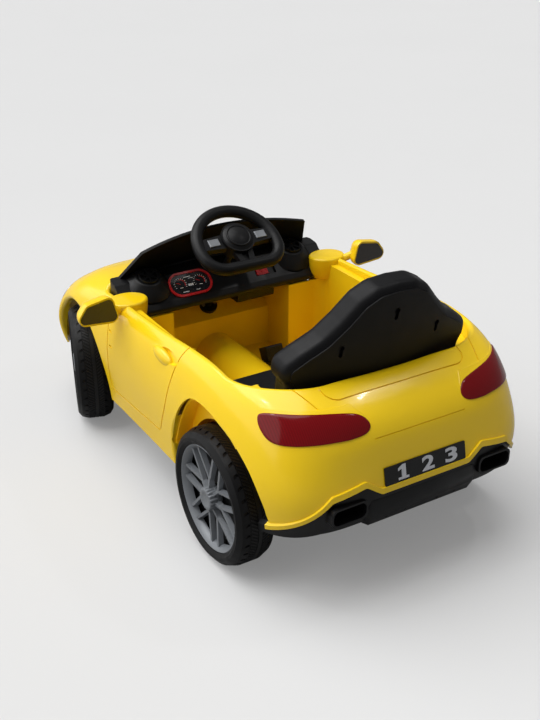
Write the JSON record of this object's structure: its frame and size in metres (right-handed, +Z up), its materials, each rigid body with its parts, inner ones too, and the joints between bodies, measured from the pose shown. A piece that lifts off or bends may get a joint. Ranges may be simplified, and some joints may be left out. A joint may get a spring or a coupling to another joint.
{
  "type": "electric ride-on car",
  "caption": "Small open electric ride-on car for a child, with steered front wheels, a flat-bottomed steering wheel, a bucket seat and moulded lights.",
  "frame": {"origin": "on the floor below the middle of the overall box", "axes": "+X forward, +Y to the driver's left, +Z up; front wheels rest turned to the right as pictured"},
  "size_m": [0.9205, 0.6268, 0.46],
  "materials": {
    "yellow_body": "glossy moulded",
    "black_trim": "satin moulded",
    "seat_black": "fine grain",
    "tyre_black": "matt moulded tread",
    "rim_grey": "silver grey paint",
    "red_lens": "glossy",
    "clear_lens": "clear",
    "mirror_film": "reflective film",
    "steel": "zinc plated",
    "silver_trim": "silver paint",
    "red_trim": "glossy",
    "dial_print": "printed",
    "plate_black": "printed label",
    "battery_case": "moulded",
    "motor_can": "satin"
  },
  "bodies": {
    "car": {"body_shell": "yellow_body", "cockpit_tub": "yellow_body", "chassis_tray": "black_trim", "dashboard": "black_trim", "instrument_bezel": "red_trim", "instrument_panel": "dial_print", "vent_left": "black_trim", "vent_right": "black_trim", "switch_box": "black_trim", "seat_shell": "seat_black", "seat_back_panel": "seat_black", "headlight_left": "clear_lens", "headlight_right": "clear_lens", "front_grille": "black_trim", "tail_light_left": "red_lens", "tail_light_right": "red_lens", "number_plate": "plate_black", "rear_diffuser": "black_trim", "exhaust_tip_left": "black_trim", "exhaust_tip_right": "black_trim", "mirror_housing_left": "yellow_body", "mirror_housing_right": "yellow_body", "mirror_glass_left": "mirror_film", "mirror_glass_right": "mirror_film", "column_bush": "black_trim", "column_bush_screws": "steel", "front_beam": "steel", "front_beam_screws": "steel", "rear_axle": "steel", "axle_nuts_rear": "steel", "axle_washers_rear": "steel", "gearbox_case": "black_trim", "drive_motor": "motor_can", "battery": "battery_case", "battery_clamp": "black_trim", "control_module": "black_trim", "speaker": "black_trim", "charging_socket": "black_trim", "pedal_hinge": "black_trim"},
    "steering": {"steering_wheel": "black_trim", "steering_hub_cap": "black_trim", "steering_column": "steel"},
    "horn": {"horn_button": "silver_trim"},
    "music": {"music_button": "silver_trim"},
    "tie_rod": {"tie_rod": "steel"},
    "knuckle_left": {"knuckle_left": "steel", "axle_nut_front_left": "steel"},
    "knuckle_right": {"knuckle_right": "steel", "axle_nut_front_right": "steel"},
    "pedal": {"accelerator_pedal": "black_trim"},
    "power_rocker": {"power_switch": "red_trim"},
    "wheel_front_left": {"tyre_front_left": "tyre_black", "hubcap_front_left": "rim_grey"},
    "wheel_front_right": {"tyre_front_right": "tyre_black", "hubcap_front_right": "rim_grey"},
    "wheel_rear_left": {"tyre_rear_left": "tyre_black", "hubcap_rear_left": "rim_grey"},
    "wheel_rear_right": {"tyre_rear_right": "tyre_black", "hubcap_rear_right": "rim_grey"}
  },
  "joints": [
    {"name": "steer", "type": "hinge", "parent": "car", "child": "steering", "pos_m": [0.09, 0, 0.375], "axis": [-0.5655, 0, 0.8247], "range_deg": [-6.73, 67.27]},
    {"name": "knuckle_left_turn", "type": "hinge", "parent": "car", "child": "knuckle_left", "pos_m": [0.272, 0.172, 0.11], "axis": [0, 0, 1], "range_deg": [-4.02, 40.02]},
    {"name": "knuckle_right_turn", "type": "hinge", "parent": "car", "child": "knuckle_right", "pos_m": [0.272, -0.172, 0.11], "axis": [0, 0, 1], "range_deg": [-4.02, 40.02]},
    {"name": "tie_rod_shift", "type": "slide", "parent": "car", "child": "tie_rod", "axis": [0, 1, 0], "range_m": [-0.02741, 0.00279]},
    {"name": "wheel_front_left_spin", "type": "hinge", "parent": "knuckle_left", "child": "wheel_front_left", "pos_m": [0.28683, 0.21765, 0.11], "axis": [0.309, 0.9511, 0], "continuous": true},
    {"name": "wheel_front_right_spin", "type": "hinge", "parent": "knuckle_right", "child": "wheel_front_right", "pos_m": [0.25717, -0.21765, 0.11], "axis": [0.309, 0.9511, 0], "continuous": true},
    {"name": "wheel_rear_left_spin", "type": "hinge", "parent": "car", "child": "wheel_rear_left", "pos_m": [-0.247, 0.22, 0.11], "axis": [0, 1, 0], "continuous": true},
    {"name": "wheel_rear_right_spin", "type": "hinge", "parent": "car", "child": "wheel_rear_right", "pos_m": [-0.247, -0.22, 0.11], "axis": [0, 1, 0], "continuous": true},
    {"name": "horn_press", "type": "slide", "parent": "steering", "child": "horn", "axis": [0.5655, 0, -0.8247], "range_m": [0, 0.002], "stiffness_N_per_m": 300, "springref_m": -0.002},
    {"name": "music_press", "type": "slide", "parent": "steering", "child": "music", "axis": [0.5655, 0, -0.8247], "range_m": [0, 0.002], "stiffness_N_per_m": 300, "springref_m": -0.002},
    {"name": "pedal_press", "type": "hinge", "parent": "car", "child": "pedal", "pos_m": [0.074, -0.07, 0.124], "axis": [0, 1, 0], "range_deg": [0, 12], "stiffness_Nm_per_rad": 0.6, "springref_deg": -17.19},
    {"name": "power_rock", "type": "hinge", "parent": "car", "child": "power_rocker", "pos_m": [0.13083, -0.076, 0.28501], "axis": [0.7355, 0, 0.6775], "range_deg": [-8, 8]}
  ],
  "couplings": [
    {"joint": "knuckle_left_turn", "follows": "steer", "ratio": 0.59459},
    {"joint": "knuckle_right_turn", "follows": "steer", "ratio": 0.59459},
    {"joint": "tie_rod_shift", "follows": "steer", "m_per_rad": -0.0233}
  ]
}
